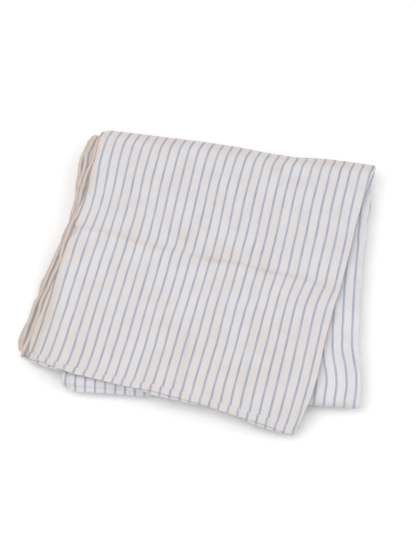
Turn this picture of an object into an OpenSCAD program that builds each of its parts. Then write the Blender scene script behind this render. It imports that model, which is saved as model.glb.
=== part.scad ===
// Baby wrap sling, folded for storage.
// One long hemmed cloth is folded once lengthwise, then into four tracks that lie
// on one another, then fan-folded into four stacked panels: bottom, base, middle
// and the top flap. A strip is one track of one panel: two layers of cloth that are
// joined at the long fold on the left. Every strip is its own solid. Strips turn
// into one another at the back and front folds, and each fold is split at its
// outermost line, where its hinge axis lies.
// Frame: +Z up, Y along the stripes towards the back folds, X across the folded width.

/* [Cloth] */
// Width of the cloth when folded once lengthwise, mm
folded_w = 304; // [260:2:340]
// Thickness of one layer of cloth, mm
cloth_t = 0.5; // [0.35:0.05:0.6]
// Height that one strip of two layers takes in the stack, mm
strip_pitch = 1.8; // [1.8:0.1:2.2]
// Free height between the two layers of a strip, mm
inner_gap = 0.4; // [0.3:0.05:0.4]

/* [Folding] */
// Y of the front fold's bend centre, mm
front_y = -131; // [-140:1:-125]
// Y of the lower back fold's bend centre, mm
lower_back_y = 129; // [110:1:130]
// Y of the upper back fold's bend centre on the part's centre plane, mm
upper_back_y = 141.5; // [136:0.5:150]
// Angle by which the upper back fold runs off square, degrees
fold_skew = 3.3; // [0:0.1:6]
// Y where the bottom panel's free end bends back, mm
bottom_end_y = -96; // [-97:1:-80]
// Lean of the top flap's left fold, degrees
flap_lean_left = 9.5; // [0:0.5:12]
// Lean of the top flap's right edge, degrees
flap_lean_right = 13.5; // [0:0.5:15]
// Length of the top flap along its left fold, hem included, mm
flap_left = 266; // [250:1:275]
// Length of the top flap along its right edge, hem included, mm
flap_right = 310; // [290:1:315]
// Sideways drift of each of the four tracks, outermost first, mm
track_shift = [2, -1, -4, -7];

/* [Hems and thread] */
// Depth of the turned hem at each end of the cloth, mm
end_hem = 8; // [6:1:12]
// Depth of the narrow hem along each long edge, mm
side_hem = 6; // [4:1:10]
// Thickness of a hemmed layer, mm
hem_t = 0.65; // [0.5:0.05:0.65]
// Width of the flattened sewing thread, mm
thread_w = 0.45; // [0.3:0.05:0.6]
// Height of the flattened sewing thread above the cloth, mm
thread_h = 0.15; // [0.1:0.05:0.15]

/* [Hidden] */
$fn = 48;

cream = [0.93, 0.91, 0.89];
shade = [0.88, 0.85, 0.83];
blue = [0.70, 0.74, 0.83];
thread_white = [0.97, 0.97, 0.96];

// Panels, lowest first. Strips within a panel are numbered from 0, lowest first.
bottom = 0;
base = 1;
middle = 2;
flap = 3;
tracks = 4;
panel_h = tracks * strip_pitch;

inner_half = inner_gap / 2;        // half the free height in a strip
outer_half = inner_half + cloth_t; // half the full height of a strip
long_fold_steps = 10;              // facets of the long fold

// Bends
front = -1;          // a bend that bulges towards -Y
back = 1;            // a bend that bulges towards +Y
seam_gap = 0.01;     // from the bend's centre height to each strip's end
press = 0.02;        // a square bend's layers are this much thinner on each face
tail = 0.2;          // how far a square bend's layers run into the flat part
bend_inset = 0.15;   // a square bend stops this far short of the strip at each side
hook_flat = 380;     // straight length behind a skewed bend, before trimming
hook_w = 520;        // width of a skewed bend, before trimming
cavity_over = 1;     // how far a cavity runs past the seam

// Trimming reaches, all beyond the cloth
zone_over = 1;       // plan zones below and above their panel
zone_x = 300;
middle_zone_y = 200;
flap_zone_y = 250;
flap_over = 20;      // beyond the flap's back and front ends

// Sewing
side_stitch_in = 1;  // from the side hem's inner edge towards the free edge
end_stitch_in = 1.5; // from the end hem's inner edge towards the cloth's end
end_stitch_stop = 4; // from each end of the hem line

// Height of a panel's lower bound; the lowest face of the cloth is at z = 0.
function level(panel) = panel * panel_h - (strip_pitch / 2 - outer_half);
function mid(panel, strip) = level(panel) + (strip + 0.5) * strip_pitch;
// The outermost track is the lowest strip of one panel and the highest strip of the next.
function drift(panel, strip) = track_shift[panel % 2 == 0 ? strip : tracks - 1 - strip];
// 1 if a strip bends upwards to reach centre_z, -1 if it bends downwards.
function bend_up(panel, strip, centre_z) = mid(panel, strip) < centre_z ? 1 : -1;

// Y of the upper back fold's bend centre at x.
function fold_at(x) = upper_back_y - x * tan(fold_skew);
// Point at a distance forwards from that fold, along a flap edge that starts at x and leans.
function flap_edge(x, lean, distance) = [x - distance * sin(lean), fold_at(x) - distance * cos(lean)];
function flap_l(distance) = flap_edge(-folded_w / 2, flap_lean_left, distance);
function flap_r(distance) = flap_edge(folded_w / 2, flap_lean_right, distance);

// The flap's hemmed front edge, from its left to its right corner.
hem_left = flap_l(flap_left);
hem_right = flap_r(flap_right);
hem_line = hem_right - hem_left;
hem_len = norm(hem_line);
hem_angle = atan2(hem_line[1], hem_line[0]);
// Y at x of the line set in from that edge.
function hem_at(x, inset) =
  hem_left[1] + (x - hem_left[0]) * tan(hem_angle) + inset / cos(hem_angle);

// Side hem sewing of each panel: Y of its back end, where it starts and stops forwards
// from there, and its lean in degrees.
side_seams = [
  [lower_back_y, 0, lower_back_y - bottom_end_y, 0],
  [lower_back_y, 0, lower_back_y - front_y, 0],
  [fold_at(folded_w / 2), 1, fold_at(folded_w / 2) - front_y, 0],
  [fold_at(folded_w / 2), 2, flap_right - end_hem - 2, flap_lean_right]
];

// Points of the long fold's half circle; step 0 is its top.
fold_x = -folded_w / 2 + outer_half;
function fold_arc(radius, steps) = [
  for (i = steps)
    let (angle = 90 + 180 * i / long_fold_steps)
      [fold_x + radius * cos(angle), radius * sin(angle)]
];

// Cross-section of a strip as one outline: two layers joined by the long fold, each of
// thickness hem along its free edge. extra lengthens the layers beyond the folded width.
module strip_section(layer, hem, extra = 0) {
  edge_x = folded_w / 2 + extra;
  hem_x = folded_w / 2 - side_hem;
  layer_z = outer_half - layer;
  hem_z = outer_half - hem;
  polygon(concat(
    fold_arc(outer_half, [0 : long_fold_steps]),
    [[edge_x, -outer_half], [edge_x, -hem_z], [hem_x, -hem_z]],
    hem > layer ? [[hem_x, -layer_z]] : [],
    fold_arc(layer_z, [long_fold_steps : -1 : 0]),
    hem > layer ? [[hem_x, layer_z]] : [],
    [[hem_x, hem_z], [edge_x, hem_z], [edge_x, outer_half]]
  ));
}

// The straight run of a strip from y0 up to y1.
module run(panel, strip, y0, y1)
  translate([drift(panel, strip), y1, mid(panel, strip)])
    rotate([90, 0, 0])
      linear_extrude(height = y1 - y0)
        strip_section(cloth_t, max(cloth_t, hem_t));

// Side view of one layer's quarter bend about the origin, with a straight part of length flat.
// up 1 starts below the centre and bends upwards, up -1 starts above it and bends downwards.
module bend_profile(r_in, r_out, up, side, flat, gap = seam_gap) {
  reach = r_out + 1;
  intersection() {
    difference() {
      circle(r = r_out);
      circle(r = r_in);
    }
    translate([side == back ? 0 : -reach, up > 0 ? -reach : gap])
      square([reach, reach - gap]);
  }
  translate([side == back ? -flat : 0, up > 0 ? -r_out : r_in])
    square([flat, r_out - r_in]);
}

// A strip's quarter bend along X from x0 to x1: two nested layers at mean radius r,
// closed at the long fold by a plate.
module quarter(r, up, side, x0, x1) {
  r_min = r - outer_half + press;
  r_max = r + outer_half - press;
  translate([x0 + bend_inset, 0, 0]) rotate([90, 0, 90]) {
    linear_extrude(height = cloth_t)
      bend_profile(r_min, r_max, up, side, tail);
    linear_extrude(height = x1 - x0 - 2 * bend_inset) {
      bend_profile(r + inner_half + press, r_max, up, side, tail);
      bend_profile(r_min, r - inner_half - press, up, side, tail);
    }
  }
}

// A strip's quarter bend at a square fold, centred on y and centre_z.
module square_bend(panel, strip, y, centre_z, side)
  translate([drift(panel, strip), y, centre_z])
    quarter(abs(mid(panel, strip) - centre_z), bend_up(panel, strip, centre_z), side,
      -folded_w / 2, folded_w / 2);

// A vertical prism over a panel's height, from its outline in plan.
module plan_zone(panel, outline)
  translate([0, 0, level(panel) - zone_over])
    linear_extrude(height = panel_h + 2 * zone_over)
      polygon(outline);

// A slab, half_t thick each way, that ends in a quarter bend at the upper back fold and
// is wide and long enough for any panel.
module skewed_hook(panel, strip, half_t, over = 0) {
  r = abs(mid(panel, strip) - level(flap));
  translate([0, upper_back_y, level(flap)]) rotate([0, 0, -fold_skew])
    translate([-hook_w / 2, 0, 0]) rotate([90, 0, 90])
      linear_extrude(height = hook_w)
        bend_profile(r - half_t, r + half_t, bend_up(panel, strip, level(flap)), back,
          hook_flat, seam_gap - over);
}

// A strip that ends at the upper back fold, from the plan outlines of its cloth and
// of the cavity between its layers.
module skewed_strip(panel, strip, outline, cavity) {
  offset_x = [drift(panel, strip), 0, 0];
  difference() {
    intersection() {
      skewed_hook(panel, strip, outer_half);
      translate(offset_x) plan_zone(panel, outline);
    }
    intersection() {
      skewed_hook(panel, strip, inner_half, cavity_over);
      translate(offset_x) plan_zone(panel, cavity);
    }
  }
}

// Puts children at the left end of the line set in from the flap's hemmed edge, turned along it.
module on_hem_line(strip, inset, z) {
  x = hem_left[0] + drift(flap, strip);
  translate([x, hem_at(x, inset), z]) rotate([0, 0, hem_angle]) children();
}

// Bottom panel: the four tracks bend back on one another at the free end.
module bottom_strip(strip) color(strip % 2 ? cream : shade) {
  run(bottom, strip, bottom_end_y, lower_back_y);
  square_bend(bottom, strip, bottom_end_y, level(bottom) + panel_h / 2, front);
  square_bend(bottom, strip, lower_back_y, level(base), back);
}

// Base panel: joined to the bottom panel behind and to the middle panel in front.
module base_strip(strip) color(strip % 2 ? cream : shade) {
  run(base, strip, front_y, lower_back_y);
  square_bend(base, strip, lower_back_y, level(base), back);
  square_bend(base, strip, front_y, level(middle), front);
}

// Middle panel: its back edge follows the skewed fold.
module middle_strip(strip) color(strip % 2 ? cream : shade) {
  left = -folded_w / 2;
  right = folded_w / 2;
  in_left = left + cloth_t;
  over = 5; // the cavity runs out at the front and right
  skewed_strip(middle, strip,
    [[left, front_y], [right, front_y], [right, middle_zone_y], [left, middle_zone_y]],
    [[in_left, front_y - over], [right + over, front_y - over],
      [right + over, middle_zone_y], [in_left, middle_zone_y]]);
  square_bend(middle, strip, front_y, level(middle), front);
}

// Top flap: the two lower tracks join at the cloth's middle, the two upper ones end in hems.
module flap_strip(strip) color(strip % 2 ? cream : shade) {
  back_l = flap_l(-flap_over);
  back_r = flap_r(-flap_over);
  front_l = flap_l(flap_left + flap_over);
  front_r = flap_r(flap_right + flap_over);
  over = [9, 0]; // the cavity runs out at the right
  intersection() {
    skewed_strip(flap, strip,
      [back_l, back_r, front_r, front_l],
      [back_l + [cloth_t, 10], back_r + over, front_r + over, front_l + [cloth_t, 0]]);
    plan_zone(flap, [[-zone_x, flap_zone_y], [zone_x, flap_zone_y],
      [zone_x, hem_at(zone_x, end_hem)], [-zone_x, hem_at(-zone_x, end_hem)]]);
  }
  // the fold at the cloth's middle, along the hem's inner line
  if (strip < 2)
    on_hem_line(strip, end_hem, level(flap) + strip_pitch)
      quarter(strip_pitch / 2, strip == 0 ? 1 : -1, front, 2, hem_len - 3);
}

// The turned and sewn hem at one end of the cloth.
module flap_end_hem(strip) color(thread_white) {
  dx = drift(flap, strip);
  inner_inset = end_hem - 0.02; // just clear of the flap strip
  intersection() {
    // a hemmed section swept along the left fold, longer than the flap at both ends
    translate([dx - folded_w / 2, fold_at(-folded_w / 2), mid(flap, strip)])
      rotate([0, 0, -flap_lean_left]) translate([0, 20, 0]) rotate([90, 0, 0])
        linear_extrude(height = flap_left + 90)
          translate([folded_w / 2, 0]) strip_section(hem_t, hem_t, extra = 40);
    plan_zone(flap, [
      [-zone_x, hem_at(-zone_x, inner_inset)], [zone_x, hem_at(zone_x, inner_inset)],
      [zone_x, hem_at(zone_x, 0)], [-zone_x, hem_at(-zone_x, 0)]]);
    // everything left of the flap's right edge
    translate([dx, 0, 0])
      plan_zone(flap, [[-400, 200], flap_r(-50), flap_r(flap_right + 50), [-400, -300]]);
  }
}

// Lower face of a thread on a strip's top (face 1) or underside (face -1).
function thread_z(panel, strip, face) =
  mid(panel, strip) + face * outer_half - (face < 0 ? thread_h : 0);

// The line of sewing along an end hem, on both faces of the strip.
module flap_end_thread(strip) color(blue)
  for (face = [-1, 1])
    on_hem_line(strip, end_hem - end_stitch_in, thread_z(flap, strip, face))
      translate([end_stitch_stop, 0, 0])
        cube([hem_len - 2 * end_stitch_stop, thread_w, thread_h]);

// The line of sewing along the long edges: one bar on each face of each strip of a panel.
module side_hem_thread(panel) color(thread_white) {
  seam = side_seams[panel];
  x = folded_w / 2 - side_hem + side_stitch_in;
  for (strip = [0 : tracks - 1])
    for (face = [-1, 1])
      // The lowest face rests flat, so its thread is pressed flush and isn't raised.
      if (!(panel == bottom && strip == 0 && face < 0))
        translate([x + drift(panel, strip), seam[0], thread_z(panel, strip, face)])
          rotate([0, 0, -seam[3]])
            translate([0, -seam[2], 0])
              cube([thread_w, seam[2] - seam[1], thread_h]);
}

bottom_strip(0);  // bottom_strip_1
bottom_strip(1);  // bottom_strip_2
bottom_strip(2);  // bottom_strip_3
bottom_strip(3);  // bottom_strip_4
base_strip(0);  // base_strip_1
base_strip(1);  // base_strip_2
base_strip(2);  // base_strip_3
base_strip(3);  // base_strip_4
middle_strip(0);  // middle_strip_1
middle_strip(1);  // middle_strip_2
middle_strip(2);  // middle_strip_3
middle_strip(3);  // middle_strip_4
flap_strip(0);  // flap_strip_1
flap_strip(1);  // flap_strip_2
flap_strip(2);  // flap_strip_3
flap_strip(3);  // flap_strip_4
flap_end_hem(3);  // end_hem_first
flap_end_hem(2);  // end_hem_last
flap_end_thread(3);  // end_hem_first_thread
flap_end_thread(2);  // end_hem_last_thread
side_hem_thread(bottom);  // side_hem_thread_bottom
side_hem_thread(base);  // side_hem_thread_base
side_hem_thread(middle);  // side_hem_thread_middle
side_hem_thread(flap);  // side_hem_thread_flap
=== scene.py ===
"""Folded baby wrap sling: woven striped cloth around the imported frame.

It lies flat with +Z up, the front towards -Y and the left towards -X. Four panels are stacked:
0 bottom, 1 base, 2 middle and 3 the top flap. Each holds four strips (tracks 0 to 3), and each
strip is two layers of cloth joined by a long fold on the left and open on the right.
"""
import bpy
import math
import numpy as np
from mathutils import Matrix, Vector


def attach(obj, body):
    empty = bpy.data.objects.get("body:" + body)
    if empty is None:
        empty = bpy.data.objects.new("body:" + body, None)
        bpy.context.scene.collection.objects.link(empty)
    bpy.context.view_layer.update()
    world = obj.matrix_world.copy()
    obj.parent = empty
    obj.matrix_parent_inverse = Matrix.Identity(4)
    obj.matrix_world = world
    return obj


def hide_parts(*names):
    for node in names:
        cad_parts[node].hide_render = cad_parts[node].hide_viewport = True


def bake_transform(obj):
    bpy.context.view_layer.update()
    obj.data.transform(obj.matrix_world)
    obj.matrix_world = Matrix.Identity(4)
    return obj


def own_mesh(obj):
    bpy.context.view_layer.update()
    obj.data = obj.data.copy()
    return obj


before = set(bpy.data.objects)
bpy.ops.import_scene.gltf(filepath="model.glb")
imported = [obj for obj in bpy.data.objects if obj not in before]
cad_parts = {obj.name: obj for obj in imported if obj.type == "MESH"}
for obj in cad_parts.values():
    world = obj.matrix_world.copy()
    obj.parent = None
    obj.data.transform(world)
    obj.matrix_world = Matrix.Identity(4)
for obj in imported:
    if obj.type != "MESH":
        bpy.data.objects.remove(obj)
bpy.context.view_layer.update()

# ---------------------------------------------------------------- main sizes
MM = 1000.0                      # mm in a metre
SKEW = math.radians(3.3)         # slant of the upper back fold in plan
PITCH = 1.8                      # height of one doubled strip
PANEL = 4 * PITCH                # height of one panel
LEVEL = [round(panel * PANEL - 0.2, 1) for panel in range(4)]  # lower face of each panel
FRONT, BACK, UPPER = -131.0, 129.0, 141.5  # y of the bends' centres; the upper one's at x = 0
END = -96.0                      # free end of the bottom panel
TAIL = 3.0                       # length by which a piece reaches past the start of a bend
GAP = 0.45                       # a layer's distance from the strip's middle
THICK = 0.5                      # thickness of a layer
STRIPE = 10.4                    # pitch of the stripes in the cloth
FLAP = 290.0                     # nominal length of the flap
MIDDLE = 270.0                   # nominal length of the middle panel
LOOP = 5                         # columns round the long fold
FOLD_NORMAL = np.array([math.sin(SKEW), math.cos(SKEW), 0.0])  # out of the upper back fold
TOP_STEP = 1.6  # mesh step on the top layer


# ---------------------------------------------------------------- numeric helpers
def smooth(x, start, end):
    """Smooth step from 0 at start to 1 at end."""
    share = np.clip((x - start) / (end - start), 0, 1)
    return share * share * (3 - 2 * share)


def mix(start, end, share):
    return start * (1 - share) + end * share


def table(x, stations):
    """Interpolates between (place, value) stations."""
    stations = sorted(stations)
    return np.interp(x, [place for place, _ in stations], [value for _, value in stations])


def field(x, y, seed, scale):
    """Smooth low waves between about -1 and 1, with wavelengths around scale."""
    count = 7
    rand = np.random.RandomState(seed)
    total = np.zeros(np.broadcast(x, y).shape)
    for _ in range(count):
        angle = rand.uniform(0, 2 * math.pi)
        freq = 2 * math.pi / (scale * rand.uniform(0.7, 1.6))
        run = x * math.cos(angle) + y * math.sin(angle)
        total = total + np.sin(freq * run + rand.uniform(0, 6.28)) * rand.uniform(0.6, 1.0)
    return total / (0.5 * count)


def grid(start, end, step):
    count = max(2, int(round(abs(end - start) / step)) + 1)
    return np.linspace(start, end, count)


def points(x, y, z):
    """Rows of x, y, z, any of which may be one number."""
    return np.stack(np.broadcast_arrays(x, y, z), 1)


# ---------------------------------------------------------------- stacking
def place(panel, track):
    """Index, from the lowest, of a track in a panel."""
    return track if panel % 2 == 0 else 3 - track


def mid_z(panel, track):
    return LEVEL[panel] + (place(panel, track) + 0.5) * PITCH


def order(panel):
    """1 where a strip's first layer is its lower one, -1 where it is the upper one."""
    return 1.0 if panel % 2 == 0 else -1.0


def bend_radius(panel, track):
    """Mean radius of the bend between a panel and the next one up."""
    return LEVEL[panel + 1] - mid_z(panel, track)


# ---------------------------------------------------------------- outlines in plan
# (x, amplitude): waviness of the upper back fold and of the front fold, across their lines
FOLD_WAVE = [
    (-200, 1.0), (-155, 1.6), (-147, 4.6), (-95, 4.8), (-38, 5.2), (0, 4.0), (34, 1.2),
    (64, 0.3), (80, 2.2), (102, 3.4), (135, 3.2), (150, 3.0), (156, 0.5)]
FRONT_WAVE = [
    (-175, 1.6), (-158, 2.4), (-138, 3.1), (-98, 2.7), (-67, 2.2), (0, 1.0), (87, 0.0),
    (150, 0.0)]
# (x, y) of the flap's end
HEM = [
    (-206, -108.5), (-197, -113.5), (-189, -115), (-180, -119.5), (-168.6, -124.5),
    (-151, -129.5), (-128, -133.6), (-107, -136.6), (-87, -139.2), (-67, -141.2),
    (-46, -144.5), (-27, -147.7), (-6, -152.0), (15, -156.3), (33, -160.5), (54, -164.9),
    (72, -169.3), (84, -171.6)]
# (x, distance) by which the end of track 1 stands out past it
SECOND_END = [
    (-206, 0.6), (-200, 2.4), (-188, 3.0), (-174, 2.4), (-163, 0.8), (-156, -1.5),
    (-100, -1.8), (-80, 0.4), (-66, 3.4), (-45, 2.6), (-25, 1.8), (-12, -0.6), (20, -0.8),
    (34, 1.9), (60, 2.4), (78, 0.8), (84, -1.5)]
# (y, x) of the flap's left edge, one list for each track
FLAP_LEFT = (
    [(160, -153.0), (149, -156.3), (122, -158.9), (105, -161.2), (95, -162.2), (85, -164.3),
     (75, -165.6), (65, -168.0), (55, -170.0), (46, -171.4), (40, -168.2), (36, -168.6),
     (30, -173.4), (18, -176.5), (2, -179.3), (-13, -181.8), (-23, -185.4), (-34, -188.5),
     (-49, -193.0), (-61, -196.0), (-70, -198.2), (-80, -200.4), (-96, -202.6),
     (-109, -203.2), (-125, -203.5)],
    [(160, -157.0), (150, -157.4), (147, -160.2), (123, -163.6), (109, -166.5), (91, -169.6),
     (75, -171.2), (60, -173.2), (42, -177.4), (25, -180.4), (4, -183.6), (-14, -188.9),
     (-37, -195.6), (-60, -201.2), (-78, -204.8), (-102, -209.6), (-125, -210.5)],
    [(160, -163.5), (148, -164.8), (144, -166.8), (127, -170.6), (105, -173.2), (92, -174.6),
     (70, -174.6), (52, -177.0), (42, -179.4), (27, -183.6), (7, -188.0), (-25, -198.4),
     (-58, -207.0), (-80, -211.6), (-93, -214.8), (-103, -214.4), (-125, -213.0)],
    [(160, -166.5), (150, -167.5), (146, -170.8), (137, -173.9), (113, -176.4), (87, -176.9),
     (69, -175.6), (47, -178.2), (38, -181.0), (27, -184.4), (7, -189.6), (-25, -199.8),
     (-58, -208.2), (-80, -212.8), (-93, -216.5), (-103, -215.8), (-125, -214.0)])
# (y, x) of the flap's right edge
FLAP_RIGHT = [
    (160, 155.0), (141, 155.6), (135, 153.4), (122, 147.8), (107, 143.4), (96, 140.6),
    (82, 137.2), (64, 133.2), (37, 128.9), (15, 124.8), (-14, 119.2), (-27, 115.4),
    (-52, 110.3), (-73, 106.2), (-108, 101.3), (-134, 95.3), (-155, 87.5), (-164, 83.0),
    (-172, 79.6)]
# (y, x) of the left edge of the bottom, base and middle panels
LOW_LEFT = (
    [(-175, -160.0), (-100, -163.5), (-60, -167.0), (0, -174.0), (55, -179.0), (77, -177.6),
     (94, -179.0), (121, -178.6), (136, -176.0), (160, -174.0)],
    [(-175, -163.0), (-138, -163.2), (-90, -166.0), (-30, -171.0), (20, -175.6),
     (57, -177.4), (76, -176.4), (97, -176.4), (110, -175.0), (133, -172.2), (160, -170.0)],
    [(-175, -163.0), (-138, -163.0), (-90, -164.5), (-30, -168.5), (20, -172.5),
     (54, -174.2), (73, -173.3), (94, -170.7), (112, -167.6), (126, -164.6), (139, -160.5),
     (160, -157.0)])
# (y, x) of the right edge of the same panels
LOW_RIGHT = [
    (-175, 146.6), (-128, 146.4), (-108, 146.2), (-86, 144.8), (-74, 141.9), (-47, 141.5),
    (-15, 141.7), (6, 142.8), (41, 144.5), (63, 146.9), (72, 145.3), (77, 146.1),
    (90, 149.2), (115, 148.9), (130, 150.5), (138, 153.5), (160, 155.0)]
# how far each track of those panels stands off that edge
LOW_RIGHT_OFF = ((-2.6, -1.1, -3.1, -1.6), (-1.4, 0.6, -0.4, -2.1), (-3.0, -2.0, -1.0, 0.0))
# (y, x) of the line right of which the flap leaves the middle panel free
FREE_EDGE = [(-170, 79.0), (-109, 100.0), (-11, 121.0), (50, 131.0), (141, 150.0)]


def fold_y(x):
    """Centre line of the upper back bend."""
    return UPPER - x * math.tan(SKEW)


def crease_y(x):
    """The pressed crease across the middle of the flap."""
    return 9.5 - 0.172 * (x + 20) + 1.6 * np.sin(x / 33.0) + 0.8 * np.sin(x / 11.0 + 1)


def fold_wave(x, track):
    """Waviness of the upper back fold, which fades towards the inner tracks."""
    return table(x, FOLD_WAVE) * (1.0, 0.45, 0.15, 0.0)[track]


def end_y(x, track):
    """Where a track of the flap ends."""
    if track == 0:
        out = 0.25 * np.sin(x / 9.0)
    elif track == 1:
        out = table(x, SECOND_END)
    else:
        out = -8.5 + 0.8 * np.sin(x / 21.0 + 2)
    return table(x, HEM) - out


def flap_left(share, track):
    """x of the flap's left edge, at a share of the way from the fold (0) to the end (1)."""
    y = mix(fold_y(-156.0), -110.0 if track < 2 else -101.5, share)
    ripple = np.sin(y / 10.5 + 2.1 * track) + 0.6 * np.sin(y / 4.7 + 1.3 * track)
    return table(y, FLAP_LEFT[track]) + (0.25, 0.7, 0.8, 0.9)[track] * ripple


def flap_right(share, track):
    x = table(mix(fold_y(152.0), -170.5, share), FLAP_RIGHT)
    if track == 0:
        return x
    return x + ((0.0, -1.8, -1.0, -2.6)[track] + 0.5 * np.sin(share * 9 + track))


def lower_left(panel, track, y):
    x = table(y, LOW_LEFT[panel])
    near = 1 - smooth(y, -120, -40)
    if track == 3 and panel > 0:
        # in front, this track's long fold stands well back
        x = x + 10.0 * near
    x = x + (1.2, 0.4, 0.9, 0.0)[place(panel, track)] * (1 - near)
    x = x + (0.0, 0.7, 0.3, 0.0)[track] * near
    return x + 0.5 * np.sin(y / 12.0 + 1.7 * track + 2.3 * panel) + 0.25 * np.sin(y / 5.1 + track)


def lower_right(panel, track, y):
    off = LOW_RIGHT_OFF[panel][track]
    if panel == 2:
        off = off * (1 - smooth(y, 80, 130))
    return table(y, LOW_RIGHT) + off + 0.3 * np.sin(y / 23.0 + track)


# ---------------------------------------------------------------- course of the stripes
STRIPE_NO = np.array([1, 4, 7, 10, 13, 16, 19, 22, 25, 28], float)  # ten traced stripes
# share of the way from the crease up to the fold (or down to the end, negative), and x of the
# traced stripes there
COURSE = [
    (1.05, [142.8, 110.9, 79.0, 48.2, 16.3, -15.8, -47.8, -79.0, -109.8, -141.6]),
    (1.00, [138.6, 106.6, 74.7, 44.0, 12.2, -19.9, -51.8, -82.9, -113.7, -145.3]),
    (0.96, [135.4, 103.5, 71.6, 40.9, 9.1, -22.9, -54.7, -85.7, -116.5, -147.9]),
    (0.90, [133.8, 101.8, 69.7, 38.4, 7.1, -24.7, -56.3, -87.8, -118.7, -149.5]),
    (0.82, [131.5, 99.6, 67.9, 36.2, 4.8, -26.5, -58.3, -89.4, -120.6, -151.2]),
    (0.70, [128.4, 96.7, 64.9, 33.6, 2.2, -29.1, -60.3, -91.5, -122.0, -152.6]),
    (0.55, [125.2, 93.7, 62.3, 30.9, -0.5, -31.3, -62.5, -93.5, -123.3, -153.0]),
    (0.40, [122.6, 91.1, 59.7, 28.7, -2.5, -33.4, -64.4, -95.1, -124.8, -153.2]),
    (0.25, [119.1, 87.9, 56.8, 26.0, -4.9, -35.7, -66.4, -96.8, -126.8, -155.1]),
    (0.12, [116.1, 85.0, 53.8, 22.9, -7.8, -38.2, -67.9, -98.8, -129.6, -158.2]),
    (0.05, [114.6, 83.6, 52.3, 21.7, -9.3, -39.7, -69.3, -100.2, -130.8, -161.0]),
    (0.00, [112.8, 82.1, 50.6, 20.2, -10.7, -41.5, -71.5, -101.7, -131.9, -162.7]),
    (-0.05, [109.7, 79.3, 48.8, 18.5, -12.0, -42.9, -73.2, -102.6, -132.9, -164.3]),
    (-0.12, [106.3, 75.9, 46.0, 16.3, -13.9, -44.3, -74.6, -104.4, -134.9, -166.5]),
    (-0.20, [103.8, 73.1, 43.8, 14.2, -16.1, -46.4, -76.4, -106.7, -137.4, -168.4]),
    (-0.30, [101.3, 70.5, 40.8, 11.1, -19.3, -49.2, -79.0, -109.2, -139.8, -170.9]),
    (-0.42, [98.5, 67.7, 38.0, 7.9, -22.5, -52.7, -82.4, -112.4, -143.0, -173.6]),
    (-0.55, [95.4, 64.4, 34.4, 4.8, -25.7, -56.1, -85.8, -115.7, -146.1, -176.5]),
    (-0.70, [91.4, 60.5, 30.1, 0.6, -30.0, -59.5, -89.2, -119.3, -150.0, -180.8]),
    (-0.85, [86.0, 56.7, 26.2, -4.1, -34.2, -63.8, -93.7, -123.2, -153.8, -185.1]),
    (-0.97, [81.1, 53.3, 23.5, -6.5, -36.9, -67.5, -97.4, -127.5, -158.2, -189.7]),
    (-1.05, [79.0, 51.0, 21.8, -8.1, -38.6, -69.4, -99.4, -129.7, -160.6, -192.4])]
COURSE_LIMIT = 1.05              # the shares run from minus this to this
COURSE_CELLS = 420               # cells of the fine grid laid over them
# (y, x) of the cloth's origin on the middle panel, and the stripes' pitch as it lies there
MIDDLE_ORIGIN = [
    (175, 152), (141, 146.5), (120, 141.5), (100, 139.0), (67, 137.4), (43, 136.8),
    (19, 136.3), (-4, 135.3), (-27, 135.0), (-50, 135.0), (-72, 135.6), (-83, 137.4),
    (-94, 139.2), (-105, 140.8), (-116, 141.5), (-127, 140.7), (-137, 139.9), (-175, 139.0)]
MIDDLE_PITCH = 10.3


def dense_course():
    """COURSE on a fine grid, its corners rounded except at the crease."""
    shares = np.array([row[0] for row in COURSE])[::-1]
    coarse = np.array([row[1] for row in COURSE])[::-1]
    fine = np.linspace(-COURSE_LIMIT, COURSE_LIMIT, COURSE_CELLS + 1)
    dense = np.stack([np.interp(fine, shares, column) for column in coarse.T], 1)
    reach = 10
    weights = np.exp(-(np.arange(-reach, reach + 1) / 5.0) ** 2)
    weights /= weights.sum()
    for half in (fine <= -0.004, fine >= 0.004):
        body = dense[half]
        before = 2 * body[:1] - body[1:reach + 1][::-1]
        after = 2 * body[-1:] - body[-reach - 1:-1][::-1]
        padded = np.concatenate([before, body, after])
        dense[half] = np.stack([np.convolve(c, weights, "valid") for c in padded.T], 1)
    return dense


COURSE_X = dense_course()


def stripe_u(x, y):
    """The cloth's coordinate across the flap, at points of its upper face."""
    crease, fold, hem_line = crease_y(x), fold_y(x), table(x, HEM)
    share = np.where(y > crease, (y - crease) / (fold - crease),
                     -(crease - y) / (crease - hem_line))
    share = np.clip(share, -COURSE_LIMIT, COURSE_LIMIT)
    cell = (share + COURSE_LIMIT) / (2 * COURSE_LIMIT) * COURSE_CELLS
    first = np.clip(np.floor(cell).astype(int), 0, COURSE_CELLS - 1)
    rest = (cell - first)[..., None]
    stripe_x = mix(COURSE_X[first], COURSE_X[first + 1], rest)
    j = np.clip((stripe_x > x[..., None]).sum(-1) - 1, 0, len(STRIPE_NO) - 2)
    right = np.take_along_axis(stripe_x, j[..., None], -1)[..., 0]
    left = np.take_along_axis(stripe_x, j[..., None] + 1, -1)[..., 0]
    number = STRIPE_NO[j] + (STRIPE_NO[j + 1] - STRIPE_NO[j]) * (right - x) / (right - left)
    return number * STRIPE


def top_u(x, y):
    """stripe_u with the wander of the cloth in it."""
    return stripe_u(x, y) + 0.3 * field(x, y, 9, 60)


def cloth_u(strip, x, y):
    """The cloth's coordinate across a lower panel: both layers follow the same course."""
    across = (table(y, MIDDLE_ORIGIN) - x) * STRIPE / MIDDLE_PITCH
    return across + 0.25 * field(x, y, 12, 50) + np.where(strip.side > 0, 0.0, 3.1)


def face_u(strip, across):
    """The coordinate as given on the first layer, then counted on round the long fold and back
    along the second layer."""
    count = strip.columns
    at_fold = across[count - 1]
    loop = at_fold + np.linspace(0, math.pi * GAP, LOOP + 2)[1:-1]
    width = np.abs(across[:count] - at_fold)
    return np.concatenate([across[:count], loop, at_fold + math.pi * GAP + width[::-1]])


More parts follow.
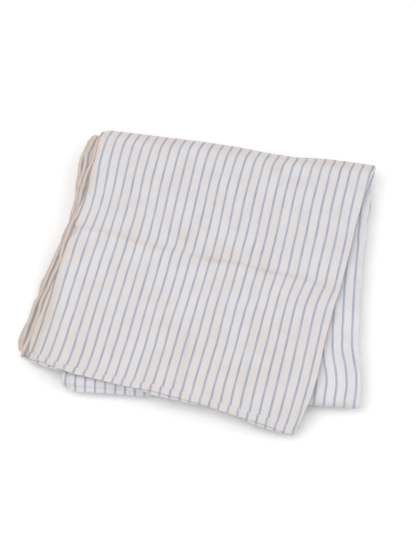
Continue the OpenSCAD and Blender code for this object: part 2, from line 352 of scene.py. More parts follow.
# ---------------------------------------------------------------- relief
MAX_DROOP = 20.3                 # droop at which the flap comes to rest above the floor
DROOP_STOP = 1.6                 # softness of that stop
# long creases of the flap: x at y = -110, slope, y from and to, height, width
LONG_CREASES = (
    (-38.5, 0.035, -150, -70, 1.35, 2.3), (25.0, -0.01, -160, -84, 1.25, 3.6),
    (-120.0, 0.16, -125, -20, 0.35, 7.0), (95.0, 0.2, -20, 110, 0.4, 8.0))


def overhang(past, bend, slope):
    """Droop at a distance past an edge: curved over the length bend, then straight."""
    past = np.maximum(past, 0)
    curved = 0.5 * slope * past * past / bend
    return np.where(past < bend, curved, 0.5 * slope * bend + slope * (past - bend))


def flap_relief(x, y, depth):
    """Height change of the flap's strips: droop past the stack, and creases and soft waves,
    which are scaled by depth."""
    left = np.maximum(0, -157.5 - 13.5 * smooth(y, -110, 25) - x)
    front = np.maximum(0, -134.0 - y)
    droop = (overhang(left, bend=20.0, slope=0.56)
             + overhang(front, bend=16.0, slope=0.5) * smooth(x, -150, -60))
    room = np.clip((MAX_DROOP - droop) / DROOP_STOP, -40, 40)
    droop = np.maximum(MAX_DROOP - np.log1p(np.exp(room)) * DROOP_STOP, 0)
    # cross crease, pressed sharp: a thin ridge between two low troughs
    off = y - crease_y(x)
    fade = (0.65 + 0.35 * np.sin(x / 41.0 + 0.6)) * (1 - 0.3 * smooth(x, 35, 85))
    z = fade * (1.6 * np.exp(-(off / 2.6) ** 2) - 1.35 * np.exp(-((off - 7.0) / 4.6) ** 2)
                - 0.5 * np.exp(-((off + 10) / 7.0) ** 2))
    for x_at, slope, y_from, y_to, height, width in LONG_CREASES:
        off = x - (x_at + slope * (y + 110)) - 1.2 * np.sin(y / 14.0)
        along = smooth(y, y_from - 12, y_from + 8) * (1 - smooth(y, y_to - 10, y_to + 14))
        ridge = np.exp(-(off / width) ** 2)
        trough = 0.7 * np.exp(-((off - 1.9 * width) / (1.3 * width)) ** 2)
        z = z + height * along * (ridge - trough)
    z = z + 0.4 * field(x, y, 3, 70) + 0.2 * field(x, y, 4, 26)
    return z * depth - droop


def puckers(x, y, left):
    """Small slanting folds where the cloth turns round the long fold, the raised rim behind
    them, and one dent."""
    off = x - left
    run = 0.5 + 0.5 * field(0.0, y, 51, 46)
    slant = np.sin(y / 2.9 + off * 0.55 + 2.0 * np.sin(y / 17.0))
    z = 1.15 * run * np.exp(-(off / 7.0) ** 2) * slant
    rim = np.exp(-((off - 4.5) / 2.4) ** 2)
    z = z + 1.5 * rim * smooth(y, 96, 118) * (1 - smooth(y, 138, 149))
    return z - 2.3 * np.exp(-((y - 38) / 3.6) ** 2) * np.exp(-(off / 10.0) ** 2)


def lift_middle(x, y, track):
    """The exposed corner of the middle panel isn't pressed by the flap, so it waves a little."""
    free = smooth(x - table(y, FREE_EDGE), 2, 16) * (1 - smooth(y, 105, 125))
    wave = np.maximum(0.5 + 0.5 * field(x, y, 40, 34), 0)
    return free * wave * (0.25 + 0.25 * track) * 1.3


def sway(panel, x, y):
    """Sideways waver of a lower panel's columns."""
    return 0.5 * field(x, y, 20 + panel, 55) + 0.25 * field(x, y, 30 + panel, 19)


def inside(x, left, right):
    """1 within a strip, falling to 0 at its edges."""
    return smooth(x, left, left + 25) * (1 - smooth(x, right - 4, right))


# ---------------------------------------------------------------- one doubled strip
def bend_angles(radius):
    """Angles of the rows round a bend: dense at the outermost line, where the cloth hinges."""
    if radius < 1.5:
        inner = np.concatenate([np.arange(-12, 12.1, 1.5),
                                [-30, -26, -22, -19, -16, 16, 19, 22, 26, 30]])
    else:
        reach = 0.45 if radius < 3 else 0.5
        inner = np.degrees(np.arcsin(np.linspace(-reach, reach, 11) / radius))
    outer = np.linspace(np.abs(inner).max(), 90, 7)[1:]
    return np.radians(np.unique(np.concatenate([inner, outer, -outer])))


class Strip:
    """Rows of a doubled strip. The columns of a row run from the open edge along the first
    layer (side -1), round the long fold and back along the second layer (side 1)."""

    def __init__(self, track, columns, dense=False):
        self.track, self.columns = track, columns
        share = np.linspace(1, 0, columns)
        if dense:
            # more columns by the long fold, the only part of the strip in view
            close = columns // 3
            share = np.concatenate([np.linspace(1, 0.055, columns - close),
                                    np.linspace(0.055, 0, close + 1)[1:]])
        turn = np.linspace(-math.pi / 2, math.pi / 2, LOOP + 2)[1:-1]
        ones = np.ones(columns)
        self.share = np.concatenate([share, np.zeros(LOOP), share[::-1]])
        self.side = np.concatenate([-ones, np.sin(turn), ones])
        self.loop = np.concatenate([0 * ones, np.cos(turn), 0 * ones])
        self.rings, self.uvs, self.tints, self.shades = [], [], [], []

    def xs(self, left, right):
        """x of every column, for a straight row between two edges."""
        return left + GAP + self.share * (right - left - GAP) - GAP * self.loop

    def hem(self, right, x, exposed=False):
        """Half gap and thickness of the layers. Cloth is thicker in the narrow hem along the
        open edges. It grows towards the strip's middle, and on an exposed first layer it
        stands out as well."""
        hem = smooth(x, right - 6.5, right - 5.7) * np.abs(self.side).round()
        gap, thick = GAP - 0.06 * hem, THICK + 0.12 * hem
        if exposed:
            gap = gap + 0.11 * hem * (self.side == -1)
            thick = thick + 0.22 * hem * (self.side == -1)
        return gap, thick

    def add(self, middle, normal, across, along, gap, thick, tint=0.0, shade=0.0):
        """Adds a row. middle: points of the middle surface. normal: where the second layer
        lies. across, along: the cloth's coordinates. tint: painted tan shade and stains, beyond
        the painted shade band along the long fold. shade: painted contact shadow where layers meet."""
        off = middle[:, 0] - middle[:, 0].min()
        # band: painted tan shade along the long fold, narrower and lighter on the top track
        reach = (3.2 if self.track == 0 else 8.5) + math.sin(along / 23.0)
        band = (0.75 if self.track == 0 else 1.0) * np.exp(-(off / reach) ** 2)
        if 600 <= along < 1530:
            # much less painted shade along the front fold
            band = band * (0.12 + 0.88 * smooth(middle[:, 1], -112, -60))
        # round the long fold the layer parts sideways as well
        apart = (normal * self.side[:, None]
                 + np.array([-1.0, 0, 0]) * self.loop[:, None])
        centre = middle + normal * (self.side * gap)[:, None]
        half = apart * (thick / 2)[:, None]
        uv = np.stack([across, np.full(len(off), along)], 1)
        tint = np.maximum(band, tint)
        shade = np.zeros(len(off)) + shade
        self.rings.append(np.concatenate([centre + half, (centre - half)[::-1]]))
        self.uvs.append(np.concatenate([uv, uv[::-1]]))
        self.tints.append(np.concatenate([tint, tint[::-1]]))
        self.shades.append(np.concatenate([shade, shade[::-1]]))


def add_object(name, data):
    ob = bpy.data.objects.new(name, data)
    bpy.context.collection.objects.link(ob)
    return ob


def ring_faces(rows, count):
    """Quads between rings of 2 * count points, and caps over the first and last ring."""
    ring = 2 * count
    base = np.arange(rows - 1)[:, None] * ring
    j = np.arange(ring)[None, :]
    after = (j + 1) % ring
    quads = np.stack([base + j, base + after, base + ring + after, base + ring + j], -1)
    caps = []
    for start, flip in ((0, True), ((rows - 1) * ring, False)):
        for i in range(count - 1):
            quad = (start + i, start + i + 1, start + ring - 2 - i, start + ring - 1 - i)
            caps.append(quad[::-1] if flip else quad)
    return np.concatenate([quads.reshape(-1, 4), np.array(caps)])


def build(name, strip):
    """Closed mesh from a strip's rows."""
    verts = np.array(strip.rings).reshape(-1, 3)
    faces = ring_faces(len(strip.rings), len(strip.side))
    me = bpy.data.meshes.new(name)
    me.vertices.add(len(verts))
    me.vertices.foreach_set("co", (verts / MM).astype(np.float32).ravel())
    me.loops.add(faces.size)
    me.loops.foreach_set("vertex_index", faces.astype(np.int32).ravel())
    me.polygons.add(len(faces))
    me.polygons.foreach_set("loop_start", np.arange(0, faces.size, 4, dtype=np.int32))
    me.update(calc_edges=True)
    layer = me.uv_layers.new(name="UVMap")
    uv = np.array(strip.uvs).reshape(-1, 2)[faces.ravel()]
    layer.data.foreach_set("uv", (uv / MM).astype(np.float32).ravel())
    for key, values in (("tint", strip.tints), ("shade", strip.shades)):
        attribute = me.attributes.new(key, "FLOAT", "POINT")
        attribute.data.foreach_set("value", np.array(values, np.float32).ravel())
    me.validate()
    # a negative signed volume means that the normals point inwards
    a, b, c, d = verts[faces].transpose(1, 0, 2)
    if np.sum(np.cross(a, b) * c) + np.sum(np.cross(a, c) * d) < 0:
        me.flip_normals()
    me.polygons.foreach_set("use_smooth", np.ones(len(me.polygons), bool))
    ob = add_object(name, me)
    # rims stay crisp
    me.set_sharp_from_angle(angle=math.radians(50))
    return ob


# ---------------------------------------------------------------- rows of the lower panels
def flat_rows(strip, panel, ys):
    """Flat rows of the bottom or base panel."""
    track = strip.track
    for y in ys:
        left, right = lower_left(panel, track, y), lower_right(panel, track, y)
        x = strip.xs(left, right)
        wavy_x = x + sway(panel, x, y) * inside(x, left, right)
        strip.add(points(wavy_x, y, mid_z(panel, track)), np.array([0, 0, order(panel)]),
                  cloth_u(strip, x, y), 900.0 - y if panel else y, *strip.hem(right, x))


def square_bend(strip, panel, y_bend, angles, along):
    """Rows round a square fold from a panel to the next one up, at the back or the front."""
    track = strip.track
    out = order(panel)           # 1 where the fold bulges to +Y
    radius = bend_radius(panel, track)
    for angle in angles:
        cos, sin = math.cos(angle), math.sin(angle)
        up = smooth(sin, -1, 1)
        left = mix(lower_left(panel, track, y_bend), lower_left(panel + 1, track, y_bend), up)
        right = mix(lower_right(panel, track, y_bend), lower_right(panel + 1, track, y_bend), up)
        x = strip.xs(left, right)
        wave = (0.7 * np.sin(x / 37.0 + 0.7 + y_bend) + 0.4 * np.sin(x / 13.0 + y_bend)) * cos
        if out < 0:
            # the front fold sags forward on the left, below its hinge line
            sag = 3.2 * (0.1, 0.3, 0.6, 1.0)[track] * cos * smooth(-sin, 0.03, 0.4)
            wave = wave + table(x, FRONT_WAVE) * (0.9 * cos + sag)
        shift = mix(sway(panel, x, y_bend), sway(panel + 1, x, y_bend), up)
        middle = points(x + shift * inside(x, left, right),
                        y_bend + out * radius * cos + out * wave * 0.6,
                        LEVEL[panel + 1] + radius * sin)
        # tint: painted tan shade on the back fold's rim; none on the front fold
        strip.add(middle, np.array([0.0, out * cos, sin]) * -out, cloth_u(strip, x, y_bend),
                  along + math.degrees(angle) / 180.0 * math.pi * radius,
                  *strip.hem(right, x), tint=(0.35 if out > 0 else 0.0) * cos ** 2)


def end_turn(strip):
    """The free end of the bottom panel, where tracks 0 and 3, and 1 and 2, turn into one
    another."""
    track, other = strip.track, 3 - strip.track
    z_turn = LEVEL[0] + 2 * PITCH
    radius = abs(z_turn - mid_z(0, track))
    for angle in np.radians(np.linspace(90, -90, 13)):
        cos, sin = math.cos(angle), math.sin(angle)
        share = (1 + sin) / 2
        left = mix(lower_left(0, track, END), lower_left(0, other, END), share)
        right = mix(lower_right(0, track, END), lower_right(0, other, END), share)
        x = strip.xs(left, right)
        # the first row keeps clear of the other track's end
        y = END - radius * cos + (0.02 if angle > 1.5 else 0)
        strip.add(points(x, y, z_turn + radius * sin), np.array([0.0, cos, -sin]),
                  cloth_u(strip, x, END), END - radius * angle, *strip.hem(right, x))


# ---------------------------------------------------------------- rows of the upper fold, flap
# x, y, radii in x and y, and strength of faint stains on the top layer
STAINS = [
    (46.0, 127.0, 4.0, 7.0, 0.45), (-46.0, 31.0, 6.5, 10.0, 0.5), (4.0, 53.0, 4.0, 9.0, 0.26),
    (-120.0, 137.0, 9.0, 2.6, 0.22), (24.0, -137.0, 2.4, 13.0, 0.45)]


def upper_bend(strip, angles):
    """Tail of the middle panel and the bend, up to the flap's first row."""
    track = strip.track
    radius = bend_radius(2, track)
    right = flap_right(0.0, track)
    x = strip.xs(flap_left(0.0, track), right)
    hem = strip.hem(right, x)
    x_tail = strip.xs(lower_left(2, track, fold_y(-150) - TAIL),
                      lower_right(2, track, fold_y(150) - TAIL))
    flap_u = top_u(x, fold_y(x))
    tail_u = cloth_u(strip, x_tail, fold_y(0.0) - TAIL)
    for share in (0.0, 0.5):
        row_x = mix(x_tail, x, share)
        middle = points(row_x, fold_y(row_x) - TAIL * (1 - share), mid_z(2, track))
        strip.add(middle, np.array([0, 0, order(2)]), face_u(strip, tail_u),
                  1522.0 + 3 * share, *hem)
    for angle in angles:
        cos, sin = math.cos(angle), math.sin(angle)
        turned = angle + math.pi / 2
        middle = points(x, fold_y(x), LEVEL[3]) + FOLD_NORMAL * (radius * cos)
        middle = middle + np.array([0, 0, radius * sin])
        middle[:, 1] += fold_wave(x, track) * smooth(sin, 0.05, 0.6)
        pull = (tail_u - flap_u) * (1 - turned / math.pi)
        # tint: painted tan shade on the outer rim of the upper back fold
        strip.add(middle, -(FOLD_NORMAL * cos + np.array([0, 0, sin])),
                  face_u(strip, flap_u + pull), 1530.0 + turned * radius, *hem,
                  tint=0.75 * max(0.0, cos) ** 2)


def flap_row(strip, share):
    """Row of the flap at a share of its length from the bend's centre line: x, y, z, the
    cloth's coordinate, the distance past the fold, and the left and right edges."""
    track = strip.track
    left, right = flap_left(share, track), flap_right(share, track)
    x = strip.xs(left, right)
    flat_y = mix(fold_y(x), end_y(x, track), share)
    past = (fold_y(x) - flat_y) * math.cos(SKEW)
    # the fold's waviness dies out along the flap
    y = flat_y + fold_wave(x, track) * np.exp(-np.maximum(past, 0) / 16.0)
    across = top_u(x, flat_y)
    if track:
        # beneath, the last stripe keeps close to the long fold, as the cloth was folded along it
        near = np.exp(-np.maximum(x - left - 4, 0) / 30.0)
        last = (28.0 if track == 1 else 29.0) * STRIPE + 4.6
        across = across * (1 - near) + near * (last - (x - left))
    relief = flap_relief(x, y, (1.0, 0.8, 0.6, 0.4)[track]) * smooth(past, 10, 26)
    roll = np.exp(-((past - 9) / 9.0) ** 2) * smooth(past, 0, 5)
    z = mid_z(3, track) + relief + (1.5, 1.0, 0.6, 0.2)[track] * roll
    z = z + puckers(x, y, left) * smooth(past, 10, 22) * (1.0 if track < 3 else 0.8)
    return x, y, z, face_u(strip, across), past, left, right


def stain_and_shade_tint(strip, x, y, across):
    """Tan on the top layer: painted shade beyond the outermost stripe, painted shade above the cross
    crease, more tan towards the front, and stains.
    """
    upper = strip.side < 0
    # painted shade on the slope down to the long fold, beyond the outermost stripe
    tint = 0.6 * smooth(across / STRIPE, 27.9, 28.7) * smooth(-y, -10, 60) * (strip.side < 0.5)
    # painted shade in patches just above the cross crease
    off = y - crease_y(x)
    patch = np.clip(0.15 + 1.3 * field(x, y * 0.4, 61, 42), 0, 1) * (1 - smooth(x, 60, 130))
    band = np.exp(-np.maximum(off - 1.0, 0) / 8.0) * smooth(off, -3.5, 0.5)
    tint = np.maximum(tint, (0.12 + 0.42 * patch) * band * upper)
    # more tan towards the front
    cloudy = 0.8 + 0.3 * field(x, y, 78, 45)
    tint = np.maximum(tint, 0.13 * smooth(-y, 10, 90) * cloudy * upper)
    for stain_x, stain_y, x_radius, y_radius, strength in STAINS:
        spot = np.exp(-((x - stain_x) / x_radius) ** 2 - ((y - stain_y) / y_radius) ** 2)
        tint = np.maximum(tint, strength * spot * (0.75 + 0.4 * field(x, y, 77, 9)) * upper)
    return tint


def flap_rows(strip, shares):
    track, side = strip.track, strip.side
    for share in shares:
        x, y, z, across, past, left, right = flap_row(strip, share)
        gap, thick = strip.hem(right, x, exposed=track == 0)
        tint, shade = 0.0, 0.0
        if track == 0:
            tint = stain_and_shade_tint(strip, x, y, across)
        else:
            # painted contact shadow: a thin dark line where each layer comes out from under the one
            # above, and on track 1 along the end of the track above
            over = flap_left(share, track - 1) - x
            shade = np.exp(-np.abs(over) / 0.75)
            if track == 1:
                shade = np.maximum(shade, np.exp(-np.abs(end_y(x, 0) - y) / 0.7))
            shade = shade * (side < 0.5) * smooth(past, 4, 20)
        if track < 2:
            # end hem: the cloth turned over, so its stripes don't quite meet the others
            to_end = (1 - share) * FLAP
            bulge = 1 - smooth(to_end, 6.6, 7.6)
            thick = np.maximum(thick, THICK + 0.34 * bulge)
            gap = gap + 0.03 * bulge
            if share > 0.9995:
                thick = thick * 0.55
            turned = 1 - smooth(to_end, 6.7, 7.5)
            across = across - 1.1 * turned * (1 + 0.3 * np.sin(x / 15.0))
            ripple = np.sin(2 * math.pi * (across / STRIPE) + 0.6)
            z = z + 0.22 * turned * ripple * (side < 0)
        # tint also carries painted tan shade next to the upper back fold
        strip.add(points(x, y, z), np.array([0, 0, order(3)]), across,
                  1530.0 + 20 + share * FLAP, gap, thick,
                  tint=np.maximum(tint, 0.5 * np.exp(-np.maximum(past, 0) / 2.2)), shade=shade)


def flap_turn(strip):
    """At the flap's end, track 2 turns under into track 3."""
    x, y, z, across, _, _, right = flap_row(strip, 1.0)
    x_low, y_low, z_low, *_ = flap_row(Strip(3, strip.columns, dense=True), 1.0)
    for angle in np.radians(np.linspace(90, -90, 13))[1:]:
        cos, sin = math.cos(angle), math.sin(angle)
        down = (1 - sin) / 2
        middle = points(mix(x, x_low, down), mix(y, y_low, down) - 0.9 * cos,
                        mix(z, z_low, down))
        # tint: painted tan shade on the turned-under end
        strip.add(middle, np.array([0.0, -cos, sin]) * order(3), across,
                  1850.0 + (math.pi / 2 - angle), *strip.hem(right, x), tint=0.4)


# ---------------------------------------------------------------- pieces
def make_lower(track):
    """Bottom panel, lower back fold and base panel."""
    strip = Strip(track, columns=46)
    step = 7.0
    turns = track < 2
    if turns:
        end_turn(strip)
    flat_rows(strip, 0, grid(END, BACK, step)[1 if turns else 0:])
    square_bend(strip, 0, BACK, bend_angles(bend_radius(0, track))[1:], along=500.0)
    flat_rows(strip, 1, grid(BACK, FRONT + TAIL, step)[1:])
    return build("lower_fold_strip_%d" % (track + 1), strip)


def make_front(track, columns, step):
    """Tail of the base panel, front fold and middle panel."""
    strip = Strip(track, columns)
    flat_rows(strip, 1, grid(FRONT + TAIL, FRONT, 3)[:-1])
    square_bend(strip, 1, FRONT, bend_angles(bend_radius(1, track)), along=1200.0)
    for share in grid(0, 1, step / MIDDLE)[1:]:
        def row_y(x):
            """The rows fan out up to the slanted fold."""
            return FRONT + share * (fold_y(x) - TAIL - FRONT)
        left, right = lower_left(2, track, row_y(-150)), lower_right(2, track, row_y(150))
        x = strip.xs(left, right)
        y = row_y(x)
        wavy_x = x + sway(2, x, y) * inside(x, left, right) * (1 - smooth(y, 100, 125))
        middle = points(wavy_x, y, mid_z(2, track) + lift_middle(x=wavy_x * 0 + x, y=y, track=track))
        strip.add(middle, np.array([0, 0, order(2)]), cloth_u(strip, x, row_y(0)),
                  1250.0 + share * MIDDLE, *strip.hem(right, x))
    return build("front_fold_strip_%d" % (track + 1), strip)


def make_upper(track, columns, step):
    """Upper back fold and flap, as two pieces."""
    strip = Strip(track, columns, dense=track > 0)
    upper_bend(strip, bend_angles(bend_radius(2, track))[:-1])
    flap_rows(strip, np.array([0, 1, 2, 3.5, 5.5, 8, 10.5, 13]) / FLAP)
    fold = build("upper_fold_strip_%d" % (track + 1), strip)

    strip = Strip(track, columns, dense=track > 0)
    start = np.array([13.04, 15]) / FLAP
    even = grid(0, 1, step / FLAP)
    even = even[(even > 16 / FLAP) & (even < 1 - 9.5 / FLAP)]
    finish = 1 - np.array([9, 8, 7.4, 6.9, 6.3, 5.0, 2.5, 1.0, 0.3, 0]) / FLAP
    flap_rows(strip, np.concatenate([start, even, finish]))
    if track == 2:
        flap_turn(strip)
    name = "flap_underside_strip" if track == 3 else "top_flap_strip_%d" % (track + 1)
    return fold, build(name, strip)


lower_folds, front_folds, upper_folds, flaps = [], [], [], []
for track in range(4):
    lower = make_lower(track)
    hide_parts("bottom_strip_%d" % (track + 1), "base_strip_%d" % (4 - track))
    # the middle panel's uppermost track and the flap's are finer, as they are in view
    front = make_front(track, *((150, 2.4) if track == 3 else (46, 7.0)))
    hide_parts("middle_strip_%d" % (track + 1))
    top_mesh = (int(306 / TOP_STEP), TOP_STEP) if track == 0 else (108, 3.0)
    fold, flap = make_upper(track, *top_mesh)
    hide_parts("flap_strip_%d" % (4 - track))
    if track == 0:
        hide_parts("end_hem_first")
    if track == 1:
        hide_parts("end_hem_last")
    lower_folds.append(lower)
    front_folds.append(front)
    upper_folds.append(fold)
    flaps.append(flap)

# ---------------------------------------------------------------- sewing
STITCH_PITCH, STITCH = 3.6, 2.5  # from stitch to stitch, and length of one
SIDE_INSET, END_INSET = 5.0, 6.2  # distance of a seam from the open edge and from the end
SEAM_COLUMNS = 200
THREAD_SIDES = 6


def stitches(name, path, up, body, nodes, radius):
    """A row of stitches: short bowed beads of thread along a path on a face that looks up (1)
    or down (-1), with both ends sunk in the cloth."""
    run = np.concatenate([[0], np.cumsum(np.linalg.norm(np.diff(path, axis=0), axis=1))])
    normal = np.array([0.0, 0.0, float(up)])

    def at(distance):
        return np.array([np.interp(distance, run, path[:, axis]) for axis in range(3)])

    verts, faces = [], []
    rand = np.random.RandomState(len(name))
    for i in range(int((run[-1] - 1) / STITCH_PITCH)):
        centre = (i + 0.5) * STITCH_PITCH + rand.uniform(-0.15, 0.15)
        base = len(verts)
        for station in np.linspace(-0.5, 0.5, 7):
            point = at(centre + station * STITCH)
            tangent = at(centre + station * STITCH + 0.2) - point
            tangent /= max(np.linalg.norm(tangent), 1e-6)
            across = np.cross(tangent, normal)
            bow = 0.30 * (1 - (2 * station) ** 2) - 0.12
            size = radius * (0.55 + 0.45 * (1 - (2 * station) ** 4))
            for angle in np.linspace(0, 2 * math.pi, THREAD_SIDES + 1)[:-1]:
                verts.append(point + normal * (bow + size * 0.8 * math.sin(angle))
                             + across * size * math.cos(angle))
        for j in range(6):
            ring, after = base + j * THREAD_SIDES, base + (j + 1) * THREAD_SIDES
            for k in range(THREAD_SIDES):
                turn = (k + 1) % THREAD_SIDES
                faces.append((ring + k, ring + turn, after + turn, after + k))
        faces.append(tuple(base + k for k in reversed(range(THREAD_SIDES))))
        faces.append(tuple(base + 6 * THREAD_SIDES + k for k in range(THREAD_SIDES)))
    me = bpy.data.meshes.new(name)
    me.from_pydata([tuple(vert / MM) for vert in verts], [], faces)
    me.polygons.foreach_set("use_smooth", np.ones(len(me.polygons), bool))
    ob = add_object(name, me)
    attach(ob, body)
    if nodes:
        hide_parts(*nodes)
    return ob


def end_seam(track):
    """Path on the flap's upper face along the end hem, from right to left."""
    x, y, z, _, _, left, _ = flap_row(Strip(track, SEAM_COLUMNS), 1 - END_INSET / FLAP)
    path = points(x, y, z + (GAP + THICK / 2 + 0.21))[2:SEAM_COLUMNS - 2]
    return path[path[:, 0] > left + 3]


def flap_side_seam(track, up):
    """Path on a flap strip's upper or lower face along the open edge."""
    strip = Strip(track, SEAM_COLUMNS)
    path = []
    for share in np.linspace(15 / FLAP, 1 - 8.5 / FLAP, 120):
        x, y, z, _, _, _, right = flap_row(strip, share)
        x, y, z = (values[-SEAM_COLUMNS:] for values in (x, y, z))
        seam_x = right - SIDE_INSET
        path.append((seam_x, np.interp(seam_x, x, y),
                     np.interp(seam_x, x, z) + up * (GAP + THICK / 2 + 0.14)))
    return np.array(path)


def lower_side_seam(panel, track, up):
    """The same on a lower panel."""
    path = []
    for y in np.linspace((END if panel == 0 else FRONT) + 1, BACK - 1, 90):
        x = lower_right(panel, track, y) - SIDE_INSET
        z = mid_z(panel, track) + up * (GAP + THICK / 2 + 0.14)
        if panel == 2:
            z = z + lift_middle(x, y, track)
        path.append((x, y, z))
    return np.array(path)


flap_threads = [
    stitches("end_hem_thread_first", end_seam(0), 1, "top_flap",
             ["end_hem_first_thread"], radius=0.26),
    stitches("end_hem_thread_last", end_seam(1), 1, "top_flap",
             ["end_hem_last_thread"], radius=0.26),
    stitches("side_thread_flap_top", flap_side_seam(0, 1), 1, "top_flap",
             ["side_hem_thread_flap"], radius=0.2),
    stitches("side_thread_flap_under", flap_side_seam(3, -1), -1, "top_flap",
             [], radius=0.2)]
lower_threads = []
for part, panel, track, up in (("middle", 2, 3, 1), ("middle", 2, 0, -1), ("base", 1, 0, 1),
                               ("base", 1, 3, -1), ("bottom", 0, 3, 1)):
    lower_threads.append(stitches(
        "side_thread_%s_%s" % (part, "top" if up > 0 else "under"),
        lower_side_seam(panel, track, up), up, part + "_panel",
        ["side_hem_thread_" + part] if up > 0 else [], radius=0.2))


# ---------------------------------------------------------------- materials
class Shader:
    """A material and short ways to add nodes to it."""

    def __init__(self, name):
        self.material = bpy.data.materials.new(name)
        self.material.use_nodes = True
        self.tree = self.material.node_tree

    def feed(self, node, inputs):
        """Links or sets a node's inputs, given by name or index."""
        for key, value in inputs.items():
            if isinstance(value, bpy.types.NodeSocket):
                self.tree.links.new(value, node.inputs[key])
            else:
                node.inputs[key].default_value = value

    def node(self, kind, inputs, output=0, **props):
        """Adds a node and returns one of its outputs."""
        made = self.tree.nodes.new(kind)
        for key, value in props.items():
            setattr(made, key, value)
        self.feed(made, inputs)
        return made.outputs[output] if made.outputs else None

    def calc(self, operation, *values, clamp=False):
        return self.node("ShaderNodeMath", dict(enumerate(values)),
                         operation=operation, use_clamp=clamp)

    def mix(self, share, start, end):
        return self.node("ShaderNodeMix", {0: share, 6: start, 7: end}, output=2,
                         data_type="RGBA")

    def noise(self, vector, scale, detail):
        return self.node("ShaderNodeTexNoise",
                         {"Vector": vector, "Scale": scale, "Detail": detail})

    def smooth_range(self, value, start, end):
        return self.node("ShaderNodeMapRange",
                         {"From Min": start, "From Max": end, "Value": value},
                         interpolation_type="SMOOTHSTEP")

    def bump(self, height, strength, distance, **more):
        return self.node("ShaderNodeBump", {"Strength": strength, "Distance": distance,
                                            "Height": height, **more})

    def attribute(self, name):
        return self.node("ShaderNodeAttribute", {}, output="Fac", attribute_name=name)


# pitches of the weave, in mm
WARP, PICK, RIB = 0.65, 0.6, 2.6
# colours mixed into the ground of the cloth
SLUB_COLOUR = (0.575, 0.54, 0.52, 1)
RIB_COLOUR = (0.53, 0.50, 0.50, 1)
GRAIN_COLOUR = (0.56, 0.53, 0.53, 1)
# tan of stains and of painted shade along folds and the crease
STAIN_AND_SHADE_TAN = (0.565, 0.445, 0.36, 1)
# colours of the stripes, of a stripe under stains and painted tan shade, and of painted contact
# shadow
BLUE, PALE_BLUE = (0.285, 0.325, 0.425, 1), (0.39, 0.43, 0.52, 1)
STRIPE_UNDER_STAIN_AND_SHADE = (0.27, 0.225, 0.20, 1)
PAINTED_SHADOW = (0.17, 0.14, 0.125, 1)


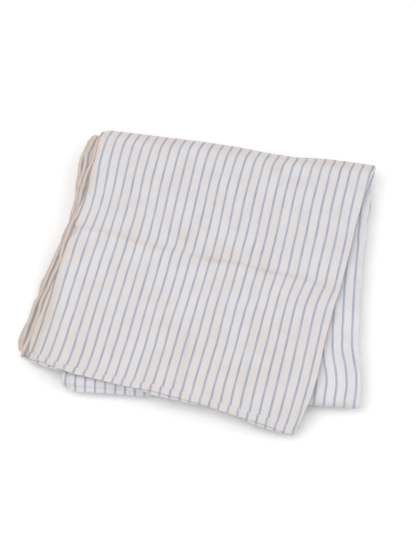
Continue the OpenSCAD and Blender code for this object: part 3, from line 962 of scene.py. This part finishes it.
def cloth_material(name, warm, cool):
    """Striped cloth, its ground mottled between a warm and a cool colour."""
    shader = Shader(name)
    shader.tree.nodes.clear()
    calc, blend, noise = shader.calc, shader.mix, shader.noise

    def scaled(across, across_scale, along, along_scale):
        return shader.node("ShaderNodeCombineXYZ", {
            0: calc("MULTIPLY", across, across_scale), 1: calc("MULTIPLY", along, along_scale)})

    uv = shader.tree.nodes.new("ShaderNodeSeparateXYZ")
    shader.feed(uv, {0: shader.node("ShaderNodeUVMap", {}, uv_map="UVMap")})
    across = calc("MULTIPLY", uv.outputs[0], MM)
    along = calc("MULTIPLY", uv.outputs[1], MM)
    # threads wander slightly, by up to about half of 1.1 mm
    wander = noise(scaled(across, 0.02, along, 0.012), scale=3.0, detail=3.0)
    across = calc("ADD", across, calc("MULTIPLY", calc("SUBTRACT", wander, 0.5), 1.1))
    # stripes: distance from the nearest stripe's centre
    phase = calc("ADD", calc("DIVIDE", across, STRIPE), 0.0)
    part = calc("FRACT", calc("ADD", phase, 100.5))
    off = calc("MULTIPLY", calc("ABSOLUTE", calc("SUBTRACT", part, 0.5)), STRIPE)
    stripe = shader.smooth_range(off, start=1.65, end=0.75)
    # warp threads, picks across them, and ribs along the cloth
    warp = calc("SINE", calc("MULTIPLY", across, 2 * math.pi / WARP))
    weft = calc("SINE", calc("MULTIPLY", along, 2 * math.pi / PICK))
    rib = calc("SINE", calc("MULTIPLY", across, 2 * math.pi / RIB))
    weave = calc("MULTIPLY", warp, weft)
    # uneven yarn, drawn out along the threads
    slub = noise(scaled(across, 1.1, along, 0.05), scale=1.0, detail=2.0)
    # mottling and crumpling
    where = shader.node("ShaderNodeTexCoord", {}, output="Object")
    mottle = noise(where, scale=38.0, detail=4.0)
    crumple = noise(where, scale=95.0, detail=3.0)
    ground = blend(shader.smooth_range(mottle, start=0.36, end=0.64), warm, cool)
    ground = blend(calc("MULTIPLY", slub, 0.22), ground, SLUB_COLOUR)
    # the blue fades in patches
    fade = noise(where, scale=60.0, detail=3.0)
    faded = calc("MULTIPLY_ADD", calc("SUBTRACT", fade, 0.5), 2.2, slub, clamp=True)
    blue = blend(faded, BLUE, PALE_BLUE)
    ribs = calc("ADD", calc("MULTIPLY", rib, 0.5), 0.5)
    ground = blend(calc("MULTIPLY", ribs, 0.20), ground, RIB_COLOUR)
    grain = noise(where, scale=520.0, detail=2.0)
    ground = blend(calc("MULTIPLY", calc("POWER", grain, 2.0), 0.30), ground, GRAIN_COLOUR)
    # stains and painted tan shade, then painted contact shadow
    tint = shader.attribute("tint")
    ground = blend(calc("MULTIPLY", tint, 0.70), ground, STAIN_AND_SHADE_TAN)
    blue = blend(calc("MULTIPLY", tint, 0.88), blue, STRIPE_UNDER_STAIN_AND_SHADE)
    colour = blend(calc("MULTIPLY", stripe, 0.86), ground, blue)
    # painted contact shadow where a layer comes out from under the one above
    shade = shader.attribute("shade")
    colour = blend(calc("MULTIPLY", shade, 0.46), colour, PAINTED_SHADOW)
    # relief: each part's share of the height
    height = calc("MULTIPLY", weave, 0.35)
    for relief, share in ((rib, 0.30), (slub, 0.9), (stripe, 0.35)):
        height = calc("ADD", height, calc("MULTIPLY", relief, share))
    threads = shader.bump(height, strength=0.28, distance=0.0002)
    normal = shader.bump(crumple, strength=0.35, distance=0.0012, Normal=threads)
    surface = shader.node("ShaderNodeBsdfPrincipled", {
        "Base Color": colour, "Roughness": 0.88, "Sheen Weight": 0.25,
        "Sheen Roughness": 0.45, "Specular IOR Level": 0.18, "Normal": normal})
    shader.node("ShaderNodeOutputMaterial", {0: surface})
    return shader.material


def thread_material():
    """Off-white sewing thread with a fine diagonal twist."""
    shader = Shader("sewing_thread")
    where = shader.node("ShaderNodeTexCoord", {}, output="Object")
    patches = shader.noise(where, scale=900.0, detail=2.0)
    twist = shader.node("ShaderNodeTexWave", {"Scale": 1500.0, "Vector": where}, output=0,
                        bands_direction="DIAGONAL")
    shader.feed(shader.tree.nodes["Principled BSDF"], {
        "Base Color": shader.mix(patches, (0.76, 0.745, 0.74, 1), (0.84, 0.83, 0.83, 1)),
        "Normal": shader.bump(twist, strength=0.4, distance=0.0001),
        "Roughness": 0.6, "Sheen Weight": 0.3})
    return shader.material


flap_cloth = cloth_material("striped_cloth", warm=(0.682, 0.644, 0.632, 1),
                            cool=(0.70, 0.688, 0.712, 1))
# the lower panels get a cooler, lighter copy of the cloth: painted fill light
lower_cloth_painted_fill = cloth_material("striped_cloth_lower_painted_fill", warm=(0.688, 0.668, 0.69, 1),
                             cool=(0.735, 0.732, 0.775, 1))
thread = thread_material()
for strips in zip(lower_folds, front_folds, upper_folds, flaps):
    for ob, cloth in zip(strips, (lower_cloth_painted_fill, lower_cloth_painted_fill, flap_cloth, flap_cloth)):
        ob.data.materials.append(cloth)
for ob in flap_threads + lower_threads:
    ob.data.materials.append(thread)


def blend_level(ob):
    """Bakes a piece's transform into its mesh."""
    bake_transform(ob)


def blend_upper(ob):
    """Bakes an upper fold's transform into its mesh."""
    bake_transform(ob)


for track in range(4):
    blend_level(lower_folds[track])
    blend_level(front_folds[track])
    blend_upper(upper_folds[track])
    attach(flaps[track], "top_flap")

# Each flap piece and flap thread gets a mesh of its own.
for ob in flaps + flap_threads:
    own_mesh(ob)


# ---------------------------------------------------------------- floor, light, camera (metres)
def floor(half, z):
    me = bpy.data.meshes.new("floor")
    corners = [(-half, -half, z), (half, -half, z), (half, half, z), (-half, half, z)]
    me.from_pydata(corners, [], [(0, 1, 2, 3)])
    ob = add_object("floor", me)
    shader = Shader("floor")
    shader.feed(shader.tree.nodes["Principled BSDF"], {
        "Base Color": (0.96, 0.96, 0.96, 1), "Roughness": 0.9, "Specular IOR Level": 0.1})
    me.materials.append(shader.material)


def area(name, location, size, power, colour):
    """Round area light aimed at the origin."""
    light = bpy.data.lights.new(name, "AREA")
    light.shape = "DISK"
    light.size = size
    light.energy = power
    light.color = colour
    ob = add_object(name, light)
    ob.location = location
    ob.rotation_euler = (-Vector(location)).to_track_quat("-Z", "Y").to_euler()


def surroundings(colour, strength):
    world = bpy.data.worlds.new("studio")
    bpy.context.scene.world = world
    world.use_nodes = True
    background = world.node_tree.nodes["Background"]
    background.inputs[0].default_value = colour
    background.inputs[1].default_value = strength


def camera(target, elevation, azimuth, distance, lens):
    """Camera that looks at the target from the front and above, azimuth degrees to the right."""
    data = bpy.data.cameras.new("camera")
    data.lens = lens
    data.sensor_width = 36.0
    data.clip_start = 0.05
    data.clip_end = 30.0
    ob = add_object("camera", data)
    rise, turn = math.radians(elevation), math.radians(azimuth)
    back = Vector((math.sin(turn) * math.cos(rise), -math.cos(turn) * math.cos(rise),
                   math.sin(rise)))
    ob.location = Vector(target) + back * distance
    ob.rotation_euler = (-back).to_track_quat("-Z", "Y").to_euler()
    bpy.context.scene.camera = ob


floor(half=6.0, z=-0.0006)
area("key", (-0.55, -0.25, 1.6), size=1.5, power=13.6, colour=(1.0, 0.99, 0.975))
area("fill", (1.3, 0.0, 1.4), size=1.8, power=7.4, colour=(0.97, 0.98, 1.0))
surroundings(colour=(1.0, 1.0, 1.0, 1), strength=0.66)
camera(target=(-0.022, 0.0, 0.0), elevation=67.0, azimuth=5.0, distance=1.3, lens=77.08)
bpy.context.scene.view_settings.view_transform = "Standard"

bpy.context.view_layer.update()
